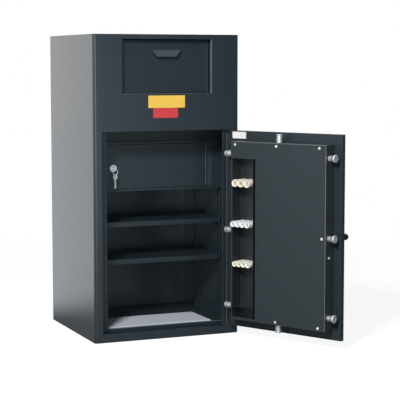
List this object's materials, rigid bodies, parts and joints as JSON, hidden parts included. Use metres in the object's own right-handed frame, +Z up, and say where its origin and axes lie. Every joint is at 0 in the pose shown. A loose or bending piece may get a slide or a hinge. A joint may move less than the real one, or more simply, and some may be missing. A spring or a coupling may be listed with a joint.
{
  "type": "drop safe with deposit drawer",
  "caption": "Upright steel drop safe: deposit drawer above a hinged door with coupled round bolts, a coin roll rack, shelves and an inner locker.",
  "frame": {"origin": "middle of the underside of the body", "axes": "+Z up, -Y out of the front face, +X towards the hinge side of the door"},
  "size_m": [0.7568, 0.9011, 1.016],
  "materials": {
    "shell_paint": "charcoal satin paint",
    "inner_paint": "dark grey satin paint",
    "bolt_steel": "bright turned steel",
    "dark_steel": "plain dark steel",
    "black_trim": "black",
    "coin_paper": "plain coin wrapper paper",
    "yellow_plate": "plain yellow, bare",
    "red_plate": "plain red, bare",
    "floor_felt": "pale grey felt"
  },
  "bodies": {
    "safe": {"body_wrap": "shell_paint", "top_plate": "shell_paint", "bottom_plate": "shell_paint", "back_plate": "shell_paint", "door_frame": "shell_paint", "bolt_keeper": "inner_paint", "hinge_socket_upper": "shell_paint", "hinge_socket_lower": "shell_paint", "floor_pan": "inner_paint", "floor_mat": "floor_felt", "shelf_upper": "inner_paint", "shelf_lower": "inner_paint", "post_front_left": "inner_paint", "post_front_right": "inner_paint", "post_back_left": "inner_paint", "post_back_right": "inner_paint", "locker_case": "inner_paint", "locker_face": "inner_paint", "locker_hinge": "dark_steel", "head_floor": "inner_paint", "cheek_left": "inner_paint", "cheek_right": "inner_paint", "chute_slide": "inner_paint", "fish_baffle": "inner_paint", "upper_plate": "yellow_plate", "lower_plate": "red_plate"},
    "door": {"door_plate": "shell_paint", "bolt_box": "shell_paint", "coin_rack": "inner_paint", "coin_rolls_large": "coin_paper", "coin_rolls_medium": "coin_paper", "coin_rolls_small": "coin_paper", "dead_pin_upper": "bolt_steel", "dead_pin_middle": "bolt_steel", "dead_pin_lower": "bolt_steel", "hinge_barrel_upper": "shell_paint", "hinge_barrel_lower": "shell_paint", "lock_case": "dark_steel", "dial_ring": "dark_steel"},
    "handle": {"door_handle": "black_trim", "handle_spindle": "dark_steel"},
    "side_bolts": {"side_bolt_upper": "bolt_steel", "side_bolt_middle": "bolt_steel", "side_bolt_lower": "bolt_steel", "bolt_bar": "dark_steel"},
    "top_bolt": {"top_bolt": "bolt_steel"},
    "bottom_bolt": {"bottom_bolt": "bolt_steel"},
    "dial": {"lock_dial": "black_trim"},
    "drawer": {"drawer_front": "shell_paint", "drawer_tray": "inner_paint", "drawer_pull": "shell_paint"},
    "flap": {"drop_flap": "inner_paint"},
    "locker_door": {"locker_door": "inner_paint", "lock_barrel": "bolt_steel"},
    "locker_lock": {"lock_plug": "bolt_steel", "lock_cam": "dark_steel", "locker_key": "bolt_steel"},
    "key_ring": {"key_ring": "bolt_steel"},
    "spare_key": {"spare_key": "bolt_steel"}
  },
  "joints": [
    {"name": "door_swing", "type": "hinge", "parent": "safe", "child": "door", "pos_m": [0.232, -0.236, 0.365], "axis": [0, 0, 1], "range_deg": [-117.8, 7.2]},
    {"name": "handle_turn", "type": "hinge", "parent": "door", "child": "handle", "pos_m": [0.45236, -0.50814, 0.3585], "axis": [0.8846, 0.4664, 0], "range_deg": [0, 90]},
    {"name": "side_bolts_slide", "type": "slide", "parent": "door", "child": "side_bolts", "axis": [0.4664, -0.8846, 0], "range_m": [0, 0.022]},
    {"name": "top_bolt_slide", "type": "slide", "parent": "door", "child": "top_bolt", "axis": [0, 0, 1], "range_m": [0, 0.022]},
    {"name": "bottom_bolt_slide", "type": "slide", "parent": "door", "child": "bottom_bolt", "axis": [0, 0, -1], "range_m": [0, 0.022]},
    {"name": "dial_turn", "type": "hinge", "parent": "door", "child": "dial", "pos_m": [0.39397, -0.53892, 0.4775], "axis": [0.8846, 0.4664, 0], "continuous": true},
    {"name": "drawer_slide", "type": "slide", "parent": "safe", "child": "drawer", "axis": [0, -1, 0], "range_m": [0, 0.18]},
    {"name": "flap_swing", "type": "hinge", "parent": "safe", "child": "flap", "pos_m": [0, -0.178, 0.985], "axis": [1, 0, 0], "range_deg": [0, 70]},
    {"name": "locker_door_swing", "type": "hinge", "parent": "safe", "child": "locker_door", "pos_m": [0.19, -0.1147, 0.5725], "axis": [0, 0, 1], "range_deg": [0, 80]},
    {"name": "locker_lock_turn", "type": "hinge", "parent": "locker_door", "child": "locker_lock", "pos_m": [-0.148, -0.1148, 0.568], "axis": [0, 1, 0], "range_deg": [0, 90]},
    {"name": "key_ring_swing", "type": "hinge", "parent": "locker_lock", "child": "key_ring", "pos_m": [-0.148, -0.13275, 0.566], "axis": [0, 1, 0], "range_deg": [-15, 15]},
    {"name": "spare_key_swing", "type": "hinge", "parent": "key_ring", "child": "spare_key", "pos_m": [-0.148, -0.13275, 0.548], "axis": [1, 0, 0], "range_deg": [-20, 10]}
  ],
  "couplings": [
    {"joint": "side_bolts_slide", "follows": "handle_turn", "m_per_rad": 0.014},
    {"joint": "top_bolt_slide", "follows": "handle_turn", "m_per_rad": 0.014},
    {"joint": "bottom_bolt_slide", "follows": "handle_turn", "m_per_rad": 0.014}
  ]
}
